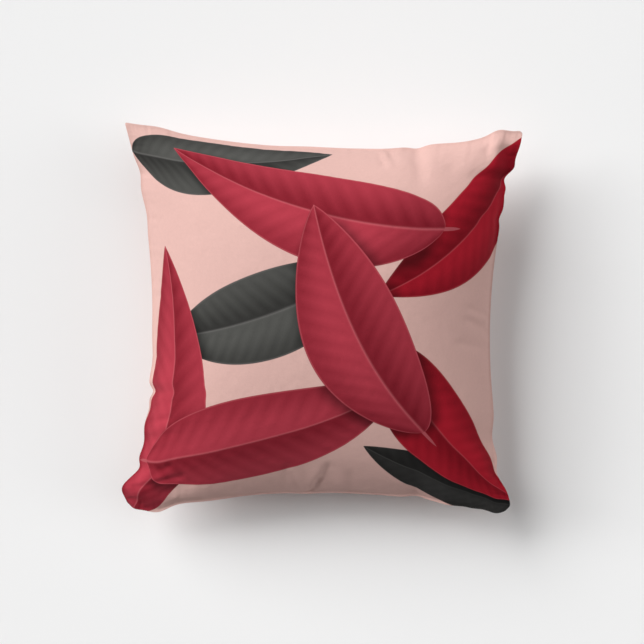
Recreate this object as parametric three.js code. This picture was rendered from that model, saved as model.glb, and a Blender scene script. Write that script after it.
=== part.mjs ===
import * as THREE from 'three';
import { mergeVertices } from 'three/addons/utils/BufferGeometryUtils.js';

// A square throw cushion lying on its back. The cover is two 406 mm squares of fine weave, sewn together
// along all four sides, turned and filled, so it is one solid with a knife-edge seam all round.
// Millimetres. +X is right and +Y is up on the printed face, +Z points away from the surface below.

const SEAM_HEIGHT = 58;       // the seam above the surface
const CROWN = 78;             // rise of the front panel above the seam
const BELLY = 76;             // fall of the back panel below the seam, where nothing stops it
const REST_BLEND = 10;        // height over which the back panel turns into its flat resting patch
const CROWN_BREADTH = 2.6;    // the crown's profile is (1 - |u| ^ breadth) ^ steepness,
const CROWN_STEEPNESS = 0.75; // with u from 0 in the middle to 1 at a side
const HALF_WIDTH = 172;       // from the middle of a panel to its seam, about half way along a side
const LIP = 6;                // how far in from the seam the two panels lie close together
const LIP_SHARPNESS = 1.2;    // power with which they part there

const CELLS = 48;             // grid cells along each side of a panel
const EDGE_CROWDING = 0.6;    // 0 spaces the grid lines evenly, 1 crowds them at the seam like a cosine
const WAVE_FADE = 8;          // power of the fall-off of a seam wave towards the middle of the panel
const WAVE_END = 8;           // steepness with which a seam wave dies out at a corner
const LIFT_FADE = 4;          // power of the fall-off of a corner's lift
const FOLD_ROOM = 4;          // height above the seam at which a fold has half its depth

// Where the sides of the cover would meet, how far the sewn corner stands up from the seam's plane,
// how much of its tip curls down, and how softly it bends.
const CORNERS = {
  topLeft: { x: -199.5, y: 197, lift: -4, curl: 1, bend: 2 },
  topRight: { x: 200.5, y: 188, lift: 7, curl: 3.2, bend: 2.5 },
  bottomRight: { x: 191, y: -197, lift: 2, curl: 7.5, bend: 5 },
  bottomLeft: { x: -203, y: -198, lift: -3, curl: 11, bend: 10 },
};

// How far the filling draws the middle of each side in.
const DRAWN_IN = { top: 23, right: 29, bottom: 22.5, left: 31 };

// Uneven places along the seam. "at" is x on the top and bottom sides and y on the left and right ones,
// "out" is outwards in the plane of the seam, "up" is +Z, and "reach" is the half-width of the wave.
const SEAM_WAVES = [
  { side: 'top', at: -165, out: 2.4, up: 0, reach: 18 },
  { side: 'top', at: -12, out: 1.4, up: 0, reach: 30 },
  { side: 'top', at: 66, out: -1.4, up: 1.5, reach: 24 },
  { side: 'top', at: 94, out: -2.6, up: -2, reach: 9 },
  { side: 'top', at: 140, out: -2, up: 2, reach: 22 },
  { side: 'top', at: 175, out: 4.2, up: 2, reach: 11 },
  { side: 'right', at: 172, out: 0.6, up: 3, reach: 9 },
  { side: 'right', at: 149, out: 2, up: 1, reach: 6 },
  { side: 'right', at: 139, out: -5.5, up: -2, reach: 8 },
  { side: 'right', at: 123, out: -1.6, up: 0, reach: 7 },
  { side: 'right', at: 99, out: -2.2, up: 1.5, reach: 6 },
  { side: 'right', at: -122, out: -5.2, up: -1.5, reach: 18 },
  { side: 'right', at: -155, out: -7, up: 2, reach: 14 },
  { side: 'bottom', at: 172, out: 2.5, up: 0, reach: 9 },
  { side: 'bottom', at: 150, out: 1.4, up: 0, reach: 10 },
  { side: 'bottom', at: 126, out: 2.2, up: 1.5, reach: 14 },
  { side: 'bottom', at: 93, out: -2.4, up: -1.5, reach: 10 },
  { side: 'bottom', at: -16, out: 1.2, up: -2, reach: 14 },
  { side: 'bottom', at: -112, out: 1.8, up: 0, reach: 26 },
  { side: 'bottom', at: -166, out: 5.8, up: -2, reach: 14 },
  { side: 'left', at: -170, out: 6, up: 2, reach: 9 },
  { side: 'left', at: -150, out: -5.4, up: -2, reach: 8 },
  { side: 'left', at: -126, out: -5, up: -2, reach: 17 },
  { side: 'left', at: -90, out: -4, up: 0, reach: 14 },
  { side: 'left', at: -73, out: -5, up: 1.5, reach: 6 },
  { side: 'left', at: -42, out: -2, up: 0, reach: 18 },
  { side: 'left', at: 104, out: -1.8, up: 1, reach: 16 },
  { side: 'left', at: 146, out: -2.8, up: -1, reach: 12 },
];

// Troughs in the front panel, and ridges where the depth is negative: puckers that start at the seam and
// creases that run in from the corners, each along a line from one end to the other.
const FOLDS = [
  { name: 'bottom pinch', fromX: -17, fromY: -177, toX: -3, toY: -159, width: 5, depth: 7.5 },
  { name: 'bottom pinch end', fromX: -3, fromY: -159, toX: 5, toY: -144, width: 6, depth: 5 },
  { name: 'bottom pucker, left', fromX: -28, fromY: -174, toX: -33, toY: -153, width: 7, depth: 4.5 },
  { name: 'bottom pucker, right', fromX: 28, fromY: -173, toX: 32, toY: -156, width: 9, depth: 3.5 },
  { name: 'right dimple, upper', fromX: 144, fromY: 8, toX: 164, toY: 1, width: 5, depth: 3 },
  { name: 'right dimple, lower', fromX: 142, fromY: -3, toX: 160, toY: -12, width: 6, depth: 3.5 },
  { name: 'right hollow', fromX: 137, fromY: -24, toX: 157, toY: -31, width: 8, depth: 2.5 },
  { name: 'top pucker, left', fromX: 56, fromY: 163, toX: 59, toY: 150, width: 6, depth: 4.5 },
  { name: 'top pucker, ridge', fromX: 61, fromY: 166, toX: 68, toY: 150, width: 6, depth: -3.5 },
  { name: 'top pucker, middle', fromX: 93, fromY: 170, toX: 94, toY: 144, width: 7, depth: 5 },
  { name: 'top pucker, right', fromX: 130, fromY: 174, toX: 127, toY: 146, width: 9, depth: 4 },
  { name: 'top right facet', fromX: 184, fromY: 184, toX: 181, toY: 149, width: 8, depth: 7 },
  { name: 'top right ridge', fromX: 173, fromY: 187, toX: 171, toY: 158, width: 6, depth: -4.5 },
  { name: 'top left dimple', fromX: -88, fromY: 168, toX: -83, toY: 158, width: 8, depth: 3 },
  { name: 'left nick', fromX: -172, fromY: -73, toX: -160, toY: -69, width: 5, depth: 3.5 },
  { name: 'left wrinkle, middle', fromX: -173, fromY: -104, toX: -149, toY: -97, width: 6, depth: 4 },
  { name: 'left wrinkle, lower', fromX: -175, fromY: -122, toX: -150, toY: -112, width: 7, depth: 3 },
  { name: 'bottom left crease, upper', fromX: -176, fromY: -158, toX: -153, toY: -147, width: 5, depth: 4.5 },
  { name: 'bottom left crease, lower', fromX: -186, fromY: -169, toX: -140, toY: -157, width: 6, depth: 7 },
  { name: 'bottom left ear', fromX: -195, fromY: -180, toX: -181, toY: -185, width: 6, depth: 4.5 },
];

// Soft highs and lows of the filling under the front panel.
const LUMPS = [
  { x: -75, y: 62, reach: 62, rise: 2.5 },
  { x: 72, y: 74, reach: 52, rise: 2 },
  { x: 84, y: -58, reach: 58, rise: -2.5 },
  { x: -66, y: -84, reach: 56, rise: -2 },
  { x: 8, y: -14, reach: 70, rise: 1.5 },
];

const blush = new THREE.MeshStandardMaterial({ color: 0xe2bdb5, roughness: 0.9, metalness: 0 });

const mix = (a, b, k) => a + (b - a) * (1 + k) / 2;
const bell = (distance, reach) => Math.exp(-((distance / reach) ** 2));

// The two panels with no thickness: a patch across the four drawn-in sides, waved along the seam and
// curled down at the corners. s runs from the left side to the right and t from the bottom to the top.
function seamSheet(s, t) {
  const { topLeft, topRight, bottomRight, bottomLeft } = CORNERS;
  const near = { top: (1 + t) / 2, right: (1 + s) / 2, bottom: (1 - t) / 2, left: (1 - s) / 2 };
  const flatX = mix(mix(bottomLeft.x, bottomRight.x, s), mix(topLeft.x, topRight.x, s), t);
  const flatY = mix(mix(bottomLeft.y, bottomRight.y, s), mix(topLeft.y, topRight.y, s), t);
  const drawnX = flatX + (1 - t * t) * (DRAWN_IN.left * near.left - DRAWN_IN.right * near.right);
  const drawnY = flatY + (1 - s * s) * (DRAWN_IN.bottom * near.bottom - DRAWN_IN.top * near.top);
  const point = new THREE.Vector3(drawnX, drawnY, 0);

  for (const { side, at, out, up, reach } of SEAM_WAVES) {
    const level = side === 'top' || side === 'bottom';
    const along = level ? drawnX : drawnY;
    const fromMiddle = level ? s : t;
    const end = Math.min(1, WAVE_END * (1 - fromMiddle * fromMiddle));
    const push = near[side] ** WAVE_FADE * bell(along - at, reach) * end;
    const outwards = side === 'top' || side === 'right' ? push * out : -push * out;
    point[level ? 'y' : 'x'] += outwards;
    point.z += push * up;
  }

  for (const { x, y, lift, curl, bend } of Object.values(CORNERS)) {
    const inX = -Math.sign(x) * Math.SQRT1_2;
    const inY = -Math.sign(y) * Math.SQRT1_2;
    const inside = (point.x - x) * inX + (point.y - y) * inY;
    const curled = (curl - inside + Math.hypot(inside - curl, bend)) / 2;
    const toCorner = (1 + Math.sign(x) * s) * (1 + Math.sign(y) * t) / 4;
    point.x += inX * curled;
    point.y += inY * curled;
    point.z += lift * toCorner ** LIFT_FADE - curled;
  }
  return point;
}

// 1 over most of the panel and 0 along the seam: the crown's profile across times the one up and down,
// each flattened to a thin lip beside the seam.
function fullness(s, t) {
  const profile = (u) => {
    const fromSeam = (1 - Math.abs(u)) * HALF_WIDTH;
    const lip = 1 - Math.exp(-((fromSeam / LIP) ** LIP_SHARPNESS));
    return lip * (1 - Math.abs(u) ** CROWN_BREADTH) ** CROWN_STEEPNESS;
  };
  return profile(s) * profile(t);
}

// Distance in the seam's plane from a point to the line that a fold runs along.
function distanceToFold(point, { fromX, fromY, toX, toY }) {
  const line = new THREE.Line3(new THREE.Vector3(fromX, fromY, 0), new THREE.Vector3(toX, toY, 0));
  const below = new THREE.Vector3(point.x, point.y, 0);
  return line.closestPointToPoint(below, true, new THREE.Vector3()).distanceTo(below);
}

function frontPoint(s, t) {
  const point = seamSheet(s, t);
  const rise = CROWN * fullness(s, t);
  const room = rise / (rise + FOLD_ROOM);
  let relief = 0;
  for (const fold of FOLDS) {
    relief -= fold.depth * bell(distanceToFold(point, fold), fold.width);
  }
  for (const lump of LUMPS) {
    relief += lump.rise * bell(Math.hypot(point.x - lump.x, point.y - lump.y), lump.reach);
  }
  point.z += SEAM_HEIGHT + rise + relief * room;
  return point;
}

// The back panel hangs below the seam and turns smoothly into the flat patch that the cushion lies on.
function backPoint(s, t) {
  const point = seamSheet(s, t);
  const hung = point.z + SEAM_HEIGHT - BELLY * fullness(s, t);
  if (hung <= -REST_BLEND) {
    point.z = 0;
  } else if (hung < REST_BLEND) {
    point.z = (hung + REST_BLEND) ** 2 / (4 * REST_BLEND);
  } else {
    point.z = hung;
  }
  return point;
}

function gridLine(index) {
  const k = 2 * index / CELLS - 1;
  return (1 - EDGE_CROWDING) * k + EDGE_CROWDING * Math.sin(Math.PI * k / 2);
}

// One panel as loose triangles. Each cell is cut along the diagonal that points to its nearest corner,
// so no triangle at a corner lies wholly on the seam.
function panelTriangles(panelPoint, facesUp) {
  const grid = [];
  for (let row = 0; row <= CELLS; row += 1) {
    for (let column = 0; column <= CELLS; column += 1) {
      grid.push(panelPoint(gridLine(column), gridLine(row)));
    }
  }
  const triangles = [];
  for (let row = 0; row < CELLS; row += 1) {
    for (let column = 0; column < CELLS; column += 1) {
      const a = row * (CELLS + 1) + column;
      const b = a + 1;
      const c = b + CELLS + 1;
      const d = c - 1;
      const rising = (row < CELLS / 2) === (column < CELLS / 2);
      const pair = rising ? [[a, b, c], [a, c, d]] : [[a, b, d], [b, c, d]];
      for (const corners of pair) {
        const ordered = facesUp ? corners : corners.slice().reverse();
        triangles.push(...ordered.flatMap((corner) => grid[corner].toArray()));
      }
    }
  }
  return triangles;
}

function cushionGeometry() {
  const positions = [...panelTriangles(frontPoint, true), ...panelTriangles(backPoint, false)];
  const loose = new THREE.BufferGeometry();
  loose.setAttribute('position', new THREE.Float32BufferAttribute(positions, 3));
  const sewn = mergeVertices(loose);
  sewn.computeBoundingBox();
  const middle = sewn.boundingBox.getCenter(new THREE.Vector3());
  sewn.translate(-middle.x, -middle.y, 0);
  sewn.computeVertexNormals();
  return sewn;
}

const cushion = new THREE.Mesh(cushionGeometry(), blush);
cushion.name = 'cushion';

const part = new THREE.Group();
part.add(cushion);

export default part;
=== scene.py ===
# A square throw cushion lying on its back, seen from straight above. Two squares of fine blush weave, the
# front one printed with large leaves, are sewn together all round, turned and filled.

import bpy
import numpy as np
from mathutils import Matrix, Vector


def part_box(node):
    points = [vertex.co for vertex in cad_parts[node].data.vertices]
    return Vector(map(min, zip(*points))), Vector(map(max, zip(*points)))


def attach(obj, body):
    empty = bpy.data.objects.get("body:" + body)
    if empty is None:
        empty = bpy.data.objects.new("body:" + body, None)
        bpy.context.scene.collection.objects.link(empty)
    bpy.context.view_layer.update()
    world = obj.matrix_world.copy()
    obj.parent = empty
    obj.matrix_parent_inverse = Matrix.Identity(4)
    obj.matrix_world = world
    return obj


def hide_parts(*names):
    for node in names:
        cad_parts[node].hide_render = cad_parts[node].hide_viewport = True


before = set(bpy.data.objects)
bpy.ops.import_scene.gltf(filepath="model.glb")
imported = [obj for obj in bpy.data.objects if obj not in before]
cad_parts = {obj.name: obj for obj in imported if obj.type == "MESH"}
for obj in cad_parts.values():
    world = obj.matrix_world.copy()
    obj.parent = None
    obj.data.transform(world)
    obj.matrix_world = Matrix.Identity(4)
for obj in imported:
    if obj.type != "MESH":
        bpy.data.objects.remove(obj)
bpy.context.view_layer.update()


# The cut panels: two squares of a fine matt polyester weave, front and back, cut to the same size. They are
# sewn right sides together, so each point of a panel is named by its place on the flat cut, from -1 to 1
# across and up, and the two panels share their outermost points, which are the seam.
MM = 0.001  # the cushion's own sizes are in millimetres, and its meshes in metres
CUT = 406.0
SEAM_ROWS = (0.0, 0.9, 2.0, 3.4, 5.2)  # distances from the seam of the finest grid lines


def cut_lines(cells, seam_rows=(0.0,)):
    """Places of the grid lines on the flat cut: the seam rows at both ends, and even steps between them."""
    ends = 1 - np.array(seam_rows) / (CUT / 2)
    inner = np.linspace(-ends[-1], ends[-1], cells + 1)[1:-1]
    return np.concatenate([-ends, inner, ends[::-1]])


def sewn_faces(count):
    """Quads of a front and a back grid of count by count points that share the points of their seam.

    Returns the quads, and for each grid the number of each of its points: the front grid is numbered row
    by row, and the back grid's inner points follow it.
    """
    front = np.arange(count * count).reshape(count, count)
    back = front.copy()
    back[1:-1, 1:-1] = count * count + np.arange((count - 2) ** 2).reshape(count - 2, count - 2)

    def quads(grid):
        return np.stack([grid[:-1, :-1], grid[:-1, 1:], grid[1:, 1:], grid[1:, :-1]], -1).reshape(-1, 4)

    return np.concatenate([quads(front), quads(back)[:, ::-1]]), front, back


# The seam: a plain knife edge. The filling draws the middle of each side in, so the corners stand out as
# ears, and the stitching leaves small waves. The tips of the ears curl down under their own stiffness.
CORNERS = [
    {"x": -199.5, "y": 197, "lift": -4, "curl": 1, "bend": 2},
    {"x": 200.5, "y": 188, "lift": 7, "curl": 3.2, "bend": 2.5},
    {"x": 191, "y": -197, "lift": 2, "curl": 7.5, "bend": 5},
    {"x": -204, "y": -197, "lift": -3, "curl": 11, "bend": 8},
]
DRAWN_IN = {"top": 23, "right": 29, "bottom": 22.5, "left": 31}
SEAM_WAVES = [
    {"side": "top", "at": -165, "out": 2.4, "up": 0, "reach": 18},
    {"side": "top", "at": -12, "out": 1.4, "up": 0, "reach": 30},
    {"side": "top", "at": 66, "out": -1.4, "up": 1.5, "reach": 24},
    {"side": "top", "at": 94, "out": -2.6, "up": -2, "reach": 9},
    {"side": "top", "at": 140, "out": -2, "up": 2, "reach": 22},
    {"side": "top", "at": 175, "out": 4.2, "up": 2, "reach": 11},
    {"side": "right", "at": 172, "out": 0.6, "up": 3, "reach": 9},
    {"side": "right", "at": 149, "out": 2, "up": 1, "reach": 6},
    {"side": "right", "at": 139, "out": -5.5, "up": -2, "reach": 8},
    {"side": "right", "at": 123, "out": -1.6, "up": 0, "reach": 7},
    {"side": "right", "at": 99, "out": -2.2, "up": 1.5, "reach": 6},
    {"side": "right", "at": -122, "out": -5.2, "up": -1.5, "reach": 18},
    {"side": "right", "at": -155, "out": -7, "up": 2, "reach": 14},
    {"side": "bottom", "at": 172, "out": 2.5, "up": 0, "reach": 9},
    {"side": "bottom", "at": 150, "out": 1.4, "up": 0, "reach": 10},
    {"side": "bottom", "at": 126, "out": 2.2, "up": 1.5, "reach": 14},
    {"side": "bottom", "at": 93, "out": -2.4, "up": -1.5, "reach": 10},
    {"side": "bottom", "at": -16, "out": 1.2, "up": -2, "reach": 14},
    {"side": "bottom", "at": -112, "out": 1.8, "up": 0, "reach": 26},
    {"side": "bottom", "at": -166, "out": 5.8, "up": -2, "reach": 14},
    {"side": "left", "at": -178, "out": 1.5, "up": 0, "reach": 6},
    {"side": "left", "at": -170, "out": 6, "up": 2, "reach": 9},
    {"side": "left", "at": -150, "out": -5.4, "up": -2, "reach": 8},
    {"side": "left", "at": -126, "out": -5, "up": -2, "reach": 17},
    {"side": "left", "at": -90, "out": -4, "up": 0, "reach": 14},
    {"side": "left", "at": -73, "out": -5, "up": 1.5, "reach": 6},
    {"side": "left", "at": -42, "out": -2, "up": 0, "reach": 18},
    {"side": "left", "at": 104, "out": -1.8, "up": 1, "reach": 16},
    {"side": "left", "at": 146, "out": -2.8, "up": -1, "reach": 12},
]
EDGE_CROWDING = 0.6  # 0 spreads the cut evenly in plan, 1 crowds it at the seam like a cosine
WAVE_FADE = 8        # power of the fall-off of a seam wave towards the middle of the panel
WAVE_END = 8         # steepness with which a seam wave dies out at a corner
LIFT_FADE = 4        # power of the fall-off of a corner's lift


def drawn_plan(cut):
    """Where a place of the flat cut lies in plan, from -1 to 1: (1 - k) cut + k sin(pi cut / 2)."""
    return (1 - EDGE_CROWDING) * cut + EDGE_CROWDING * np.sin(np.pi * cut / 2)


def seam_sheet(s, t):
    """x, y and z of the two panels with no thickness, over the plan places s (across) and t (up).

    Straight lines between the corners, less (1 - t^2) times how far each side is drawn in, which fades
    linearly to the opposite side. Then each wave adds near^fade exp(-((along - at) / reach)^2) outwards
    and up, where near is 1 at its side and 0 at the opposite one, and it dies out at the corners. At a
    corner, the cloth beyond its curl line turns down: with q the distance from the corner along its
    diagonal, the length (curl - q + sqrt((q - curl)^2 + bend^2)) / 2 goes from plan into depth. The
    corner's lift is added with a power of how near it is.
    """
    near = {"top": (1 + t) / 2, "right": (1 + s) / 2, "bottom": (1 - t) / 2, "left": (1 - s) / 2}
    top_left, top_right, bottom_right, bottom_left = CORNERS

    def between(axis):
        upper = near["left"] * top_left[axis] + near["right"] * top_right[axis]
        lower = near["left"] * bottom_left[axis] + near["right"] * bottom_right[axis]
        return near["top"] * upper + near["bottom"] * lower

    pull_x = DRAWN_IN["left"] * near["left"] - DRAWN_IN["right"] * near["right"]
    pull_y = DRAWN_IN["bottom"] * near["bottom"] - DRAWN_IN["top"] * near["top"]
    drawn_x = between("x") + (1 - t**2) * pull_x
    drawn_y = between("y") + (1 - s**2) * pull_y
    x, y, z = drawn_x.copy(), drawn_y.copy(), np.zeros_like(drawn_x)
    for wave in SEAM_WAVES:
        level = wave["side"] in ("top", "bottom")
        along, across = (drawn_x, s) if level else (drawn_y, t)
        push = near[wave["side"]] ** WAVE_FADE * np.exp(-(((along - wave["at"]) / wave["reach"]) ** 2))
        push = push * np.minimum(1, WAVE_END * (1 - across**2))
        outwards = wave["out"] * push * (1 if wave["side"] in ("top", "right") else -1)
        if level:
            y += outwards
        else:
            x += outwards
        z += wave["up"] * push
    for corner in CORNERS:
        side_x, side_y = np.sign(corner["x"]), np.sign(corner["y"])
        inside = -((x - corner["x"]) * side_x + (y - corner["y"]) * side_y) / np.sqrt(2)
        curled = (corner["curl"] - inside + np.hypot(inside - corner["curl"], corner["bend"])) / 2
        to_corner = (1 + side_x * s) * (1 + side_y * t) / 4
        x -= side_x * curled / np.sqrt(2)
        y -= side_y * curled / np.sqrt(2)
        z += corner["lift"] * to_corner**LIFT_FADE - curled
    return x, y, z


# The filling: a loose polyester insert. It crowns the front panel, with soft highs and lows, and the
# cushion's own weight presses the middle of the back panel flat on the surface that it lies on.
SEAM_HEIGHT = 58.0
CROWN = 78.0
BELLY = 76.0
REST_BLEND = 10.0     # height over which the back panel turns into its flat patch
CROWN_BREADTH = 2.6
CROWN_STEEPNESS = 0.75
HALF_WIDTH = 172.0    # from the middle of a panel to its seam, about half way along a side
LIP = 6.0             # how far in from the seam the two panels lie close together
LIP_SHARPNESS = 1.2   # power with which they part there
LUMPS = [
    {"x": -75, "y": 62, "reach": 62, "rise": 2.5},
    {"x": 72, "y": 74, "reach": 52, "rise": 2},
    {"x": 84, "y": -58, "reach": 58, "rise": -2.5},
    {"x": -66, "y": -84, "reach": 56, "rise": -2},
    {"x": 8, "y": -14, "reach": 70, "rise": 1.5},
]


def fullness(s, t):
    """1 over most of a panel and 0 along the seam: a profile across times the same profile up.

    The profile is (1 - |u|^breadth)^steepness times 1 - exp(-(d / lip)^sharpness), with d the distance
    (1 - |u|) half_width from the seam.
    """

    def profile(u):
        from_seam = np.maximum(0, 1 - np.abs(u))
        opened = 1 - np.exp(-((from_seam * HALF_WIDTH / LIP) ** LIP_SHARPNESS))
        return opened * np.maximum(0, 1 - np.abs(u) ** CROWN_BREADTH) ** CROWN_STEEPNESS

    return profile(s) * profile(t)


# Puckers and creases of the front panel: they start where the stitching gathers the cloth, or run in from
# the corners. Each is a soft trough along a line, or a ridge where its depth is negative. Its width is the
# distance from the line at which the depth has fallen to about a third.
FOLDS = [
    # bottom side: the pinch in its middle, with a roll and a hollow
    {"from": (-18, -178), "to": (-11, -170), "width": 2.4, "depth": 6},
    {"from": (-8, -166), "to": (-3, -159), "width": 2.4, "depth": 5},
    {"from": (0, -154), "to": (5, -145), "width": 3.6, "depth": 2.4},
    {"from": (-15, -166), "to": (-5, -151), "width": 5, "depth": -1.3},
    {"from": (-4, -172), "to": (9, -151), "width": 7, "depth": 1.4},
    # bottom side: a pucker, hollows and a line on both sides of the pinch
    {"from": (-23, -171), "to": (-30, -153), "width": 3, "depth": 1.8},
    {"from": (-40, -171), "to": (-35, -147), "width": 4.5, "depth": 2},
    {"from": (-52, -173), "to": (-50, -162), "width": 5, "depth": 1.4},
    {"from": (28, -172), "to": (28, -157), "width": 7, "depth": 1.6},
    {"from": (23, -173), "to": (42, -166), "width": 2.5, "depth": 1},
    # right side: the dimple in its middle, and a hollow below it
    {"from": (144, 9), "to": (164, 2), "width": 3.4, "depth": 1.4},
    {"from": (142, -2), "to": (160, -11), "width": 3.6, "depth": 1.7},
    {"from": (150, 1), "to": (162, -3), "width": 3, "depth": -0.9},
    {"from": (136, -24), "to": (156, -31), "width": 6, "depth": 1.2},
    # top side: a groove, puckers, rolls and a nick right of its middle
    {"from": (20, 159), "to": (54, 159), "width": 2.8, "depth": 0.8},
    {"from": (57, 159), "to": (59, 152), "width": 3.2, "depth": 1.2},
    {"from": (60, 164), "to": (66, 150), "width": 4, "depth": -1.4},
    {"from": (65, 168), "to": (68, 161), "width": 2.6, "depth": 2},
    {"from": (89, 166), "to": (96, 138), "width": 5.5, "depth": 0.9},
    {"from": (106, 166), "to": (110, 142), "width": 10, "depth": -0.6},
    {"from": (130, 174), "to": (127, 148), "width": 9, "depth": 1},
    # top right corner: a spot, a facet and a ridge
    {"from": (165, 173), "to": (162, 166), "width": 4, "depth": 2},
    {"from": (184, 184), "to": (182, 150), "width": 8, "depth": 4},
    {"from": (173, 188), "to": (172, 158), "width": 6, "depth": -2.4},
    # top side: a dimple on the left
    {"from": (-87, 168), "to": (-84, 160), "width": 6, "depth": 1.8},
    # left side: a bulge, a nick and four wrinkles below its middle
    {"from": (-172, -57), "to": (-166, -56), "width": 6, "depth": -1.5},
    {"from": (-173, -73), "to": (-166, -71), "width": 3, "depth": 0.8},
    {"from": (-161, -84), "to": (-140, -80), "width": 5, "depth": 1},
    {"from": (-172, -90), "to": (-164, -88), "width": 2.8, "depth": 1.4},
    {"from": (-172, -104), "to": (-150, -98), "width": 3.6, "depth": 2.2},
    {"from": (-175, -122), "to": (-150, -112), "width": 5, "depth": 1.6},
    # bottom left corner: two creases, a roll, a fall and the fold of the ear
    {"from": (-172, -158), "to": (-152, -146), "width": 3.6, "depth": 2},
    {"from": (-182, -160), "to": (-158, -156), "width": 5, "depth": -1.4},
    {"from": (-188, -169), "to": (-140, -156), "width": 4, "depth": 2.6},
    {"from": (-178, -176), "to": (-136, -166), "width": 9, "depth": 2.4},
    {"from": (-197, -181), "to": (-182, -187), "width": 4, "depth": 3.4},
]
FOLD_ROOM = 4.0  # height above the seam at which a fold has half its depth


def relief(x, y, folds):
    """Height that the folds and the filling's lumps add at places in plan.

    With d the distance from a fold's line, or from a lump's middle, it is the sum of
    -depth exp(-(d / width)^2) over the folds and rise exp(-(d / reach)^2) over the lumps.
    """
    height = np.zeros_like(x)
    for fold in folds:
        start = np.array(fold["from"], float)
        run = np.array(fold["to"], float) - start
        reached = np.clip(((x - start[0]) * run[0] + (y - start[1]) * run[1]) / (run @ run), 0, 1)
        away = np.hypot(x - start[0] - reached * run[0], y - start[1] - reached * run[1])
        height -= fold["depth"] * np.exp(-((away / fold["width"]) ** 2))
    for lump in LUMPS:
        away = np.hypot(x - lump["x"], y - lump["y"])
        height += lump["rise"] * np.exp(-((away / lump["reach"]) ** 2))
    return height


def front_panel(s, t, folds):
    """Points of the front: the seam sheet raised by the crown, and by the relief where the crown has risen.

    The relief counts by rise / (rise + room), so it fades out at the seam.
    """
    x, y, z = seam_sheet(s, t)
    rise = CROWN * fullness(s, t)
    return np.stack([x, y, SEAM_HEIGHT + z + rise + relief(x, y, folds) * rise / (rise + FOLD_ROOM)], -1)


def back_panel(s, t):
    """Points of the back: the seam sheet less the belly, h, turned into the flat patch at height 0.

    The height is h above the blend, 0 below minus the blend, and (h + blend)^2 / (4 blend) between them.
    """
    x, y, z = seam_sheet(s, t)
    hung = SEAM_HEIGHT + z - BELLY * fullness(s, t)
    turned = (hung + REST_BLEND) ** 2 / (4 * REST_BLEND)
    z = np.where(hung <= -REST_BLEND, 0, np.where(hung < REST_BLEND, turned, hung))
    return np.stack([x, y, z], -1)


# The settled cloth: the filled cover is left to find its own small unevenness. The filling presses from
# inside, the weave hardly stretches, and the seam and the resting patch are held. The folds that the thread
# holds are left out of it, because they keep their form, and the doubled cloth beside the seam hardly moves.
SETTLE_CELLS = 96
SETTLE_FRAMES = 20
SETTLE_CAP = 3.0  # the furthest that a point may move
PRESSURE = 1.5
STIFF_REACH = 12.0  # how far the seam stiffens the cloth


def settled_movement():
    """How far each point of an even grid of 97 by 97 points moves, for the front and for the back."""
    lines = cut_lines(SETTLE_CELLS)
    count = len(lines)
    cut_x, cut_y = np.meshgrid(lines, lines)
    s, t = drawn_plan(cut_x), drawn_plan(cut_y)
    faces, front, back = sewn_faces(count)
    formed = np.zeros((back.max() + 1, 3))
    formed[back] = back_panel(s, t)
    formed[front] = front_panel(s, t, [])

    mesh = bpy.data.meshes.new("settling_cover")
    mesh.from_pydata(formed * MM, [], faces.tolist())
    cover = bpy.data.objects.new("settling_cover", mesh)
    bpy.context.scene.collection.objects.link(cover)
    held = cover.vertex_groups.new(name="held")
    held.add(np.setdiff1d(front, front[1:-1, 1:-1]).tolist(), 1.0, "REPLACE")
    held.add(np.flatnonzero(formed[:, 2] <= 0).tolist(), 1.0, "REPLACE")

    cloth = cover.modifiers.new("cloth", "CLOTH")
    weave = cloth.settings
    weave.vertex_group_mass = held.name
    weave.pin_stiffness = 1
    weave.quality = 5
    weave.mass = 0.005
    weave.tension_stiffness = weave.compression_stiffness = 15
    weave.shear_stiffness = 2
    weave.bending_stiffness = 0.02
    weave.tension_damping = weave.compression_damping = weave.shear_damping = 1
    weave.use_pressure = True
    weave.uniform_pressure_force = PRESSURE
    weave.effector_weights.gravity = 0
    cloth.collision_settings.use_collision = False
    cloth.collision_settings.use_self_collision = False
    cloth.point_cache.frame_end = SETTLE_FRAMES
    scene = bpy.context.scene
    for step in range(1, SETTLE_FRAMES + 1):
        scene.frame_set(step)
    evaluated = cover.evaluated_get(bpy.context.evaluated_depsgraph_get())
    settled = np.zeros(len(mesh.vertices) * 3, np.float32)
    evaluated.data.vertices.foreach_get("co", settled)
    scene.frame_set(1)
    bpy.data.objects.remove(cover)
    bpy.data.meshes.remove(mesh)

    moved = settled.reshape(-1, 3) / MM - formed
    length = np.linalg.norm(moved, axis=1, keepdims=True)
    moved *= np.minimum(1, SETTLE_CAP / np.maximum(length, 1e-9))
    return moved[front], moved[back]


def spread_over(movement, lines):
    """The movement of the even grid at finer grid lines: linear between its points both ways.

    It fades out at the seam by 1 - exp(-(d / reach)^2), with d the distance from a side.
    """
    steps = cut_lines(SETTLE_CELLS)
    spacing = steps[1] - steps[0]
    from_side = (1 - np.abs(lines[:, None])) * CUT / 2
    weights = np.maximum(0, 1 - np.abs(lines[:, None] - steps[None, :]) / spacing)
    weights = weights * (1 - np.exp(-((from_side / STIFF_REACH) ** 2)))
    return np.einsum("ai,bj,ijk->abk", weights, weights, movement, optimize=True)


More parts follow.
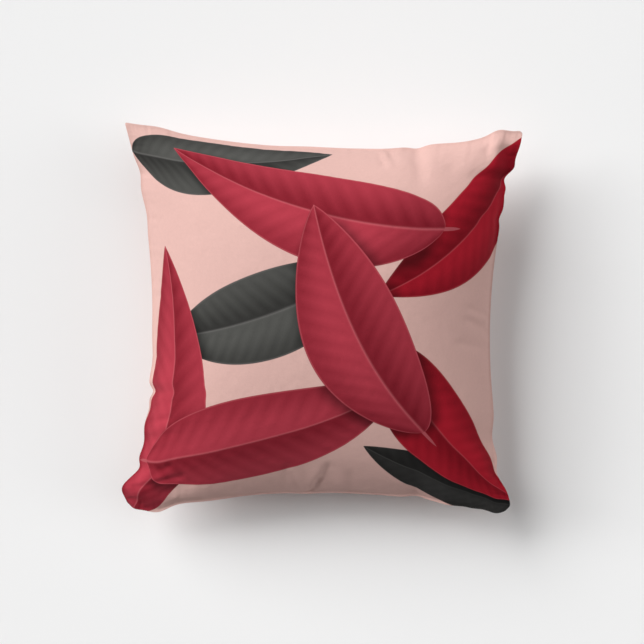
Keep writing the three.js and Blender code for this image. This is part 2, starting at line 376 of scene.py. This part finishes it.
# The sewn edge: the panels are turned over the seam allowance, so the cloth rolls out a little beyond the
# stitched line on both sides of it, and the thread gathers the cloth into fine ripples that run in.
ROLL = 0.5           # how far the cloth rolls out beyond the stitched line
BEAD = 0.6           # how far it rises there on each side
ROLL_WIDTH = 1.6     # distance from the stitched line at which it does
CORNER_FADE = 8      # power with which roll and ripples fade out at the corners
RIPPLE_REACH = 11.0  # how far the ripples run into the panel
RIPPLES = [
    {"height": 0.18, "length": 10.7, "phase": 0.4},
    {"height": 0.16, "length": 15.1, "phase": 2.2},
    {"height": 0.13, "length": 7.3, "phase": 4.1},
]
FACING_SHIFT = 1.7     # phase between the ripples of two facing sides
NEIGHBOUR_SHIFT = 2.9  # phase between those of two neighbouring sides
DRIFT = 1.3            # how far a ripple's phase drifts to and fro along a side
DRIFT_TURN = 5         # phase of that drift itself, from the middle of a side to its end


def swelling(distance, reach):
    """0 at the seam, 1 at the reach and fading beyond it: (d / reach) exp(1 - d / reach)."""
    return distance / reach * np.exp(1 - distance / reach)


def gathered_edge(points, cut_x, cut_y, upwards):
    """Adds the roll and the ripples to a panel's points; upwards is 1 on the front and -1 on the back.

    Points move outwards by the roll, and up or down by the bead and by the sum of height
    sin(2 pi along / length + phase), each times its swelling at the distance from a side on the flat cut.
    A ripple's phase is shifted from side to side and from front to back, and drifts along a side, so no
    two sides look alike. Roll, bead and ripples fade out at the corners.
    """
    points = points.copy()
    for axis, place, along in ((0, cut_x, cut_y), (1, cut_y, cut_x)):
        from_side = (1 - np.abs(place)) * CUT / 2
        to_corners = 1 - along**CORNER_FADE
        rolled = swelling(from_side, ROLL_WIDTH) * to_corners
        points[..., axis] += np.sign(place) * ROLL * rolled
        points[..., 2] += upwards * BEAD * rolled
        swell = swelling(from_side, RIPPLE_REACH) * to_corners
        for number, ripple in enumerate(RIPPLES):
            turn = 2 * np.pi * along * CUT / 2 / ripple["length"] + ripple["phase"]
            side = np.where(place > 0, FACING_SHIFT, 0) + axis * NEIGHBOUR_SHIFT + upwards * number
            drift = DRIFT * np.sin(along * DRIFT_TURN + side)
            points[..., 2] += upwards * ripple["height"] * swell * np.sin(turn + side + drift)
    return points


# The sewn cover: both panels in one closed mesh, which share the points of the seam. It is shifted so that
# the middle of its seam lies over the middle of the box that the frame gives. Each face keeps its place on
# the flat cut as its UV map, so the weave and the print bend with the cloth.
PANEL_CELLS = 212
lines = cut_lines(PANEL_CELLS, SEAM_ROWS)
cut_x, cut_y = np.meshgrid(lines, lines)
plan_s, plan_t = drawn_plan(cut_x), drawn_plan(cut_y)
front_points = front_panel(plan_s, plan_t, FOLDS)
back_points = back_panel(plan_s, plan_t)
front_moved, back_moved = settled_movement()
front_points += spread_over(front_moved, lines)
back_points += spread_over(back_moved, lines)
front_points = gathered_edge(front_points, cut_x, cut_y, 1)
back_points = gathered_edge(back_points, cut_x, cut_y, -1)
back_points[..., 2] = np.maximum(back_points[..., 2], 0)

faces, front_numbers, back_numbers = sewn_faces(len(lines))
points = np.zeros((back_numbers.max() + 1, 3))
points[back_numbers] = back_points
points[front_numbers] = front_points
seam_x, seam_y, _ = seam_sheet(plan_s, plan_t)
box_low, box_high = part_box("cushion")
points[:, 0] += (box_low.x + box_high.x) / 2 / MM - (seam_x.min() + seam_x.max()) / 2
points[:, 1] += (box_low.y + box_high.y) / 2 / MM - (seam_y.min() + seam_y.max()) / 2

cushion_mesh = bpy.data.meshes.new("cushion_cover")
cushion_mesh.from_pydata(points * MM, [], faces.tolist())
cushion = bpy.data.objects.new("cushion_cover", cushion_mesh)
bpy.context.scene.collection.objects.link(cushion)
cushion_mesh.shade_smooth()

flat_cut = cushion_mesh.uv_layers.new(name="flat_cut")
grid_places = (np.stack([cut_x, cut_y], -1).reshape(-1, 2) + 1) / 2
panel_faces = len(faces) // 2
front_corners = faces[:panel_faces].ravel()
back_grid_number = np.zeros(back_numbers.max() + 1, int)
back_grid_number[back_numbers.ravel()] = np.arange(back_numbers.size)
back_corners = back_grid_number[faces[panel_faces:].ravel()]
corner_places = np.concatenate([grid_places[front_corners], grid_places[back_corners]])
flat_cut.uv.foreach_set("vector", corner_places.astype(np.float32).ravel())
on_the_back = np.arange(len(faces)) >= panel_faces
cushion_mesh.polygons.foreach_set("material_index", on_the_back.astype(np.int32))


# The weave: fine matt polyester, its threads about half a millimetre apart. The print's ink lies in the
# threads, so the colour is a little uneven from thread to thread, and the nap has a faint sheen.
class Value:
    """What a shader socket gives. Python's operators add Math nodes, so maths on numbers reads as maths."""

    def __init__(self, finish, socket):
        self.finish = finish
        self.socket = socket

    def maths(self, operation, *others):
        return self.finish.maths(operation, self, *others)

    def __add__(self, other):
        return self.maths("ADD", other)

    def __radd__(self, other):
        return self.maths("ADD", other)

    def __sub__(self, other):
        return self.maths("SUBTRACT", other)

    def __rsub__(self, other):
        return self.finish.maths("SUBTRACT", other, self)

    def __mul__(self, other):
        return self.maths("MULTIPLY", other)

    def __rmul__(self, other):
        return self.maths("MULTIPLY", other)

    def __truediv__(self, other):
        return self.maths("DIVIDE", other)

    def __pow__(self, other):
        return self.maths("POWER", other)

    def __abs__(self):
        return self.maths("ABSOLUTE")


class Finish:
    """One material, built up node by node."""

    def __init__(self, name):
        self.material = bpy.data.materials.new(name)
        self.material.use_nodes = True
        self.tree = self.material.node_tree
        self.tree.nodes.clear()

    def node(self, kind, settings, sockets):
        """Adds a node, sets its settings, then fills or links its sockets, named or numbered."""
        node = self.tree.nodes.new(kind)
        for name, setting in settings.items():
            setattr(node, name, setting)
        for name, value in sockets.items():
            if isinstance(value, Value):
                self.tree.links.new(value.socket, node.inputs[name])
            else:
                node.inputs[name].default_value = value
        return node

    def maths(self, operation, *values):
        node = self.node("ShaderNodeMath", {"operation": operation}, dict(enumerate(values)))
        return Value(self, node.outputs[0])

    def vector(self, operation, sockets):
        node = self.node("ShaderNodeVectorMath", {"operation": operation}, sockets)
        return Value(self, node.outputs[0])

    def ramp(self, value, low, high):
        """0 below low and 1 above high, with a smooth step between them."""
        settings = {"interpolation_type": "SMOOTHSTEP"}
        sockets = {"Value": value, "From Min": low, "From Max": high}
        node = self.node("ShaderNodeMapRange", settings, sockets)
        return Value(self, node.outputs["Result"])

    def mixed(self, share, one, other):
        """Colour: one where share is 0 and other where it is 1."""
        settings = {"data_type": "RGBA"}
        node = self.node("ShaderNodeMix", settings, {0: share, 6: one, 7: other})
        return Value(self, node.outputs[2])

    def noise(self, place, scale, detail):
        """Smooth noise from about 0.3 to 0.7, with scale cells to each unit of the place."""
        node = self.node("ShaderNodeTexNoise", {}, {"Vector": place, "Scale": scale, "Detail": detail})
        return Value(self, node.outputs["Fac"])


def colour(red, green, blue):
    """A colour socket's value from the 0 to 255 numbers of a picture, in linear light."""
    shares = np.array([red, green, blue]) / 255
    linear = np.where(shares <= 0.04045, shares / 12.92, ((shares + 0.055) / 1.055) ** 2.4)
    return (*(float(share) for share in linear), 1.0)


BLUSH = colour(211, 172, 164)
THREAD = 0.55            # distance between threads
THREAD_RELIEF = 0.25     # share of the relief that the crossed threads have
SLUB_RELIEF = 0.9        # share that the thick and thin places of a thread have
RELIEF_METRES = 0.0002   # height of the whole relief
RELIEF_STRENGTH = 0.35
SLUB = {"scale": 0.9, "detail": 3.0}     # cells to a millimetre, along the threads
GRAIN = {"scale": 0.35, "detail": 1.0}   # over a few threads
CLOUD = {"scale": 0.035, "detail": 2.0}  # over whole parts of a panel
SHADE = 0.9              # share of the dye's colour everywhere, and what each noise adds to it
SLUB_SHADE = 0.09
GRAIN_SHADE = 0.07
CLOUD_SHADE = 0.05
ROUGHNESS = 0.82
SLUB_ROUGHNESS = 0.12    # what a slub adds to it


def on_the_cut(finish):
    """Millimetres across and up from the middle of the flat cut, as two values and as one place."""
    uv = finish.node("ShaderNodeUVMap", {"uv_map": "flat_cut"}, {})
    from_middle = finish.vector("SUBTRACT", {0: Value(finish, uv.outputs[0]), 1: (0.5, 0.5, 0)})
    place = finish.vector("SCALE", {0: from_middle, "Scale": CUT})
    parts = finish.node("ShaderNodeSeparateXYZ", {}, {0: place})
    return Value(finish, parts.outputs[0]), Value(finish, parts.outputs[1]), place


def woven(finish, x, y, place, dye):
    """Ends a material with the weave: the dye mottled from thread to thread, over a fine crossed relief.

    The dye is scaled by a least shade plus a share of each noise. The relief is the product of a sine
    across and a sine up, one turn to a thread, plus the slubs.
    """
    warp = (x * (2 * np.pi / THREAD)).maths("SINE")
    weft = (y * (2 * np.pi / THREAD)).maths("SINE")
    slub = finish.noise(place, **SLUB)
    grain = finish.noise(place, **GRAIN)
    cloud = finish.noise(place, **CLOUD)
    shade = SHADE + slub * SLUB_SHADE + grain * GRAIN_SHADE + cloud * CLOUD_SHADE
    mottled = finish.vector("SCALE", {0: dye, "Scale": shade})
    bump = finish.node("ShaderNodeBump", {}, {
        "Strength": RELIEF_STRENGTH,
        "Distance": RELIEF_METRES,
        "Height": warp * weft * THREAD_RELIEF + slub * SLUB_RELIEF,
    })
    cloth = finish.node("ShaderNodeBsdfPrincipled", {}, {
        "Base Color": mottled,
        "Roughness": ROUGHNESS + slub * SLUB_ROUGHNESS,
        "Normal": Value(finish, bump.outputs[0]),
        "Specular IOR Level": 0.08,
        "Sheen Weight": 0.04,
        "Sheen Roughness": 0.45,
    })
    finish.node("ShaderNodeOutputMaterial", {}, {"Surface": Value(finish, cloth.outputs[0])})
    return finish.material


# The print on the front: large leaves in crimson and charcoal, loosely strewn and overlapping, some cut off
# by the seam. A leaf runs from a deep shade of its dye to a bright one, with a pale midrib and a fine rim.
BLACK = colour(0, 0, 0)
CRIMSON = {"deep": colour(106, 12, 26), "bright": colour(171, 56, 70), "pale": colour(196, 98, 106)}
CHERRY = {"deep": colour(100, 4, 17), "bright": colour(171, 26, 43), "pale": colour(186, 76, 84)}
CHARCOAL = {"deep": colour(33, 32, 31), "bright": colour(80, 80, 77), "pale": colour(108, 106, 104)}
# the charcoal of the leaf in the lower right, made darker: partly the print's own darker shading, partly
# painted shade where the cushion lies in shade
DARK_CHARCOAL_AND_PAINTED_SHADE = {"deep": colour(20, 19, 18), "bright": colour(50, 49, 48), "pale": colour(74, 73, 71)}
LEAVES = [
    {"x": -96, "y": 158, "turn": 8, "length": 210, "breadth": 80, "bend": -16, "dye": CHARCOAL},
    {"x": -62, "y": 6, "turn": 196, "length": 190, "breadth": 74, "bend": 14, "dye": CHARCOAL},
    # the leaf in the lower right, its charcoal darkened by the print's own shading and by painted shade
    {"x": 128, "y": -158, "turn": 160, "length": 200, "breadth": 76, "bend": 16, "dye": DARK_CHARCOAL_AND_PAINTED_SHADE},
    {"x": -164, "y": -83, "turn": 84, "length": 280, "breadth": 102, "bend": -26, "dye": CRIMSON},
    {"x": 150, "y": 96, "turn": 222, "length": 250, "breadth": 92, "bend": 24, "dye": CHERRY},
    {"x": -14, "y": 112, "turn": 160, "length": 256, "breadth": 92, "bend": 22, "dye": CRIMSON},
    {"x": 132, "y": -104, "turn": -42, "length": 226, "breadth": 84, "bend": -18, "dye": CHERRY},
    {"x": -52, "y": -98, "turn": 16, "length": 262, "breadth": 94, "bend": -24, "dye": CRIMSON},
    {"x": 34, "y": 0, "turn": 116, "length": 226, "breadth": 90, "bend": 18, "dye": CRIMSON},
]
BASE_POWER = 0.62     # a leaf's half breadth is along^base (1 - along)^tip, scaled to its breadth
TIP_POWER = 0.9
WIDEST = BASE_POWER / (BASE_POWER + TIP_POWER)
RIM_WAVE = 0.012      # share of the half breadth by which the rim waves
RIM_TURN = 9          # phase of the rim's wave from base to tip
SOFT_EDGE = 0.3       # half the width over which the ink of a leaf's edge fades
UPPER_LIGHT = 0.95    # light of a leaf's upper half beside the midrib, and what it loses at the rim
UPPER_LOSS = 0.5
LOWER_LIGHT = 0.22    # light of its lower half beside the midrib, and what it gains at the rim
LOWER_GAIN = 0.55
TIP_LOSS = 0.35       # share of its light that a leaf loses at the tip
BASE_SHARE = 0.55     # share that it keeps at the base, and what comes back further along
BASE_GAIN = 0.45
SIDE_VEINS = 15
VEIN_LEAN = 0.75      # how far a side vein leans to the tip, for each step outwards
VEIN_LIGHT = 0.16
RIM_INSET = 0.7       # the fine pale rim: its distance from the edge, its width and its strength
RIM_WIDTH = 0.6
RIM_SHARE = 0.35
MIDRIB_WIDTH = 1.4    # the pale midrib: its width at the base, how much of it goes, and its strength
MIDRIB_TAPER = 0.9
MIDRIB_SHARE = 0.5
STALK = 18.0
STALK_HALF = 1.9      # half the breadth of a stalk where it meets its blade
STALK_LAP = 0.005     # how far along the blade a stalk begins
STALK_PALE = 0.6      # share of the pale dye in its colour
CAST_RIGHT = 5        # the soft shade under a leaf: how far it falls to the right and down, how far it
CAST_DOWN = 7         # reaches out of and into the leaf's shape, and its strength
CAST_OUT = 14
CAST_IN = 6
CAST_SHARE = 0.7


def leaf_shape(x, y, leaf):
    """Where a place lies in a leaf.

    Returns how far along it from base (0) to tip (1), the same kept from 0 to 1, how far across it from
    the midrib, and its half breadth there. The midrib bows by bend (4 along (1 - along) - 1/2), and the
    half breadth waves by a small sine.
    """
    turn = np.radians(leaf["turn"])
    from_x, from_y = x - leaf["x"], y - leaf["y"]
    along = from_x * (np.cos(turn) / leaf["length"]) + from_y * (np.sin(turn) / leaf["length"]) + 0.5
    blade = along.maths("MAXIMUM", 0).maths("MINIMUM", 1)
    bow = blade * (1 - blade) * (4 * leaf["bend"]) - leaf["bend"] / 2
    across = from_y * np.cos(turn) - from_x * np.sin(turn) - bow
    scale = leaf["breadth"] / 2 / (WIDEST**BASE_POWER * (1 - WIDEST) ** TIP_POWER)
    wave = 1 + (blade * RIM_TURN + leaf["x"]).maths("SINE") * RIM_WAVE
    return along, blade, across, blade**BASE_POWER * (1 - blade) ** TIP_POWER * wave * scale


def blade_light(finish, blade, across, half, length):
    """How bright a blade is, from 0 for its dye's deep shade to 1 for the bright one.

    The upper half dims towards its rim, and the lower half is darkest beside the midrib. Both dim towards
    the base and the tip, and soft veins run outwards from the midrib. The ends of each ramp are shares of
    the half breadth or of the length.
    """
    share = across / (half + 0.01)
    outwards = abs(share)
    upper = share.maths("GREATER_THAN", 0)
    upper_half = UPPER_LIGHT - finish.ramp(outwards, 0.25, 1) * UPPER_LOSS
    lower_half = LOWER_LIGHT + finish.ramp(outwards, 0, 0.95) * LOWER_GAIN
    light = upper * upper_half + (1 - upper) * lower_half
    light = light * (1 - finish.ramp(blade, 0.55, 1) * TIP_LOSS)
    light = light * (BASE_SHARE + finish.ramp(blade, 0, 0.35) * BASE_GAIN)
    vein = (blade - abs(across) * (VEIN_LEAN / length)) * SIDE_VEINS
    between_veins = abs(vein - vein.maths("ROUND")) * 2
    fades = finish.ramp(outwards, 0.02, 0.2) * (1 - finish.ramp(outwards, 0.8, 1))
    return light + (between_veins - 0.5) * fades * VEIN_LIGHT


def line_share(distance, width):
    """exp(-(distance / width)^2), for a soft drawn line."""
    return ((distance / width) ** 2 * -1).maths("EXPONENT")


def printed_leaf(finish, x, y, leaf, under, covered):
    """One leaf printed over what is under it, with the soft shade that it throws on the leaves below.

    The rim and the midrib are soft pale lines, and the stalk narrows with the cube of the way down it.
    Returns the colour so far and how far leaves cover the place.
    """
    dye, length = leaf["dye"], leaf["length"]
    along, blade, across, half = leaf_shape(x, y, leaf)
    rim = half - abs(across)
    covers = finish.ramp(rim, -SOFT_EDGE, SOFT_EDGE)
    covers = covers * along.maths("GREATER_THAN", 0) * along.maths("LESS_THAN", 1)
    light = blade_light(finish, blade, across, half, length)
    leaf_colour = finish.mixed(light, dye["deep"], dye["bright"])
    rim_line = line_share(rim - RIM_INSET, RIM_WIDTH) * RIM_SHARE
    leaf_colour = finish.mixed(rim_line, leaf_colour, dye["pale"])
    midrib_line = line_share(across, MIDRIB_WIDTH - blade * MIDRIB_TAPER) * MIDRIB_SHARE
    leaf_colour = finish.mixed(midrib_line, leaf_colour, dye["pale"])

    cast_along, _, cast_across, cast_half = leaf_shape(x - CAST_RIGHT, y + CAST_DOWN, leaf)
    shade = finish.ramp(cast_half - abs(cast_across), -CAST_OUT, CAST_IN)
    shade = shade * finish.ramp(cast_along, 0, 0.08) * (1 - finish.ramp(cast_along, 0.9, 1.02))
    under = finish.mixed(shade * covered * CAST_SHARE, under, BLACK)

    stalk_bow = along.maths("MINIMUM", 0) * (4 * leaf["bend"])
    down_stalk = (along * (-length / STALK)).maths("MAXIMUM", 0)
    stalk_rim = STALK_HALF - down_stalk**3 * STALK_HALF - abs(across - stalk_bow)
    stalk = finish.ramp(stalk_rim, -SOFT_EDGE, SOFT_EDGE) * along.maths("LESS_THAN", STALK_LAP)
    under = finish.mixed(stalk, under, finish.mixed(STALK_PALE, dye["deep"], dye["pale"]))
    return finish.mixed(covers, under, leaf_colour), covers.maths("MAXIMUM", covered)


printed = Finish("printed_weave")
x, y, place = on_the_cut(printed)
print_colour, covered = BLUSH, 0.0
for leaf in LEAVES:
    print_colour, covered = printed_leaf(printed, x, y, leaf, print_colour, covered)
cushion_mesh.materials.append(woven(printed, x, y, place, print_colour))

plain = Finish("plain_weave")
x, y, place = on_the_cut(plain)
cushion_mesh.materials.append(woven(plain, x, y, place, BLUSH[:3]))

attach(cushion, "root")
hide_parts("cushion")


# The surface that the cushion lies on: a plain sheet of matt pale card, lying flat at height 0. It is made
# so wide that its far edge is a long way off in a low side view.
FLOOR_REACH = 20.0  # metres from its middle to an edge
CARD = (0.85, 0.85, 0.85, 1)
floor_mesh = bpy.data.meshes.new("surface")
floor_corners = [(-1, -1, 0), (1, -1, 0), (1, 1, 0), (-1, 1, 0)]
floor_mesh.from_pydata([Vector(corner) * FLOOR_REACH for corner in floor_corners], [], [(0, 1, 2, 3)])
floor = bpy.data.objects.new("surface", floor_mesh)
bpy.context.scene.collection.objects.link(floor)
card = Finish("pale_card")
paper = card.node("ShaderNodeBsdfPrincipled", {}, {"Base Color": CARD, "Roughness": 0.9})
card.node("ShaderNodeOutputMaterial", {}, {"Surface": Value(card, paper.outputs[0])})
floor_mesh.materials.append(card.material)


# The studio: large soft lamps so far off that they light the whole floor alike. The windows are on the left
# and at the upper left, so the shade falls to the lower right, and two weaker lamps lighten the cushion's
# right side. Pale walls stand behind it all.
LAMPS = [
    {"name": "window", "bearing": 135, "height": 35, "spread": 36, "strength": 2.32},
    {"name": "window_high", "bearing": 157, "height": 50, "spread": 36, "strength": 0.62},
    {"name": "window_side", "bearing": 165, "height": 25, "spread": 20, "strength": 1.07},
    {"name": "fill_low", "bearing": 0, "height": 25, "spread": 30, "strength": 0.56},
    {"name": "fill_high", "bearing": 30, "height": 60, "spread": 60, "strength": 0.78},
]
WALLS = (0.93, 0.93, 0.93, 1)


def soft_light(name, bearing, height, spread, strength):
    """A lamp at infinity, at a bearing from +X and a height, and as wide as its spread, all in degrees."""
    around, up = np.radians(bearing), np.radians(height)
    direction = Vector((np.cos(around) * np.cos(up), np.sin(around) * np.cos(up), np.sin(up)))
    lamp = bpy.data.lights.new(name, "SUN")
    lamp.angle = np.radians(spread)
    lamp.energy = strength
    holder = bpy.data.objects.new(name, lamp)
    bpy.context.scene.collection.objects.link(holder)
    holder.location = direction
    holder.rotation_euler = direction.to_track_quat("Z", "Y").to_euler()


for lamp in LAMPS:
    soft_light(**lamp)
walls = bpy.data.worlds.new("pale_walls")
bpy.context.scene.world = walls
walls.use_nodes = True
walls.node_tree.nodes["Background"].inputs["Color"].default_value = WALLS
walls.cycles_visibility.diffuse = False  # pale behind the floor's far edge, and too far off to add light
bpy.context.scene.view_settings.view_transform = "Standard"


# The camera looks straight down at the cushion's face, as far away as a table-top camera hangs. Its height
# makes the picture as wide at the seam as the view's width.
LENS = 85.0
SENSOR = 36.0
VIEW_WIDTH = 0.644         # metres, at the seam's height
ASIDE = (0.0004, -0.0044)  # metres from the frame's upright axis to the middle of the picture
camera_data = bpy.data.cameras.new("camera")
camera_data.lens = LENS
camera_data.sensor_width = SENSOR
camera = bpy.data.objects.new("camera", camera_data)
bpy.context.scene.collection.objects.link(camera)
camera.location = (*ASIDE, SEAM_HEIGHT * MM + VIEW_WIDTH * LENS / SENSOR)
bpy.context.scene.camera = camera
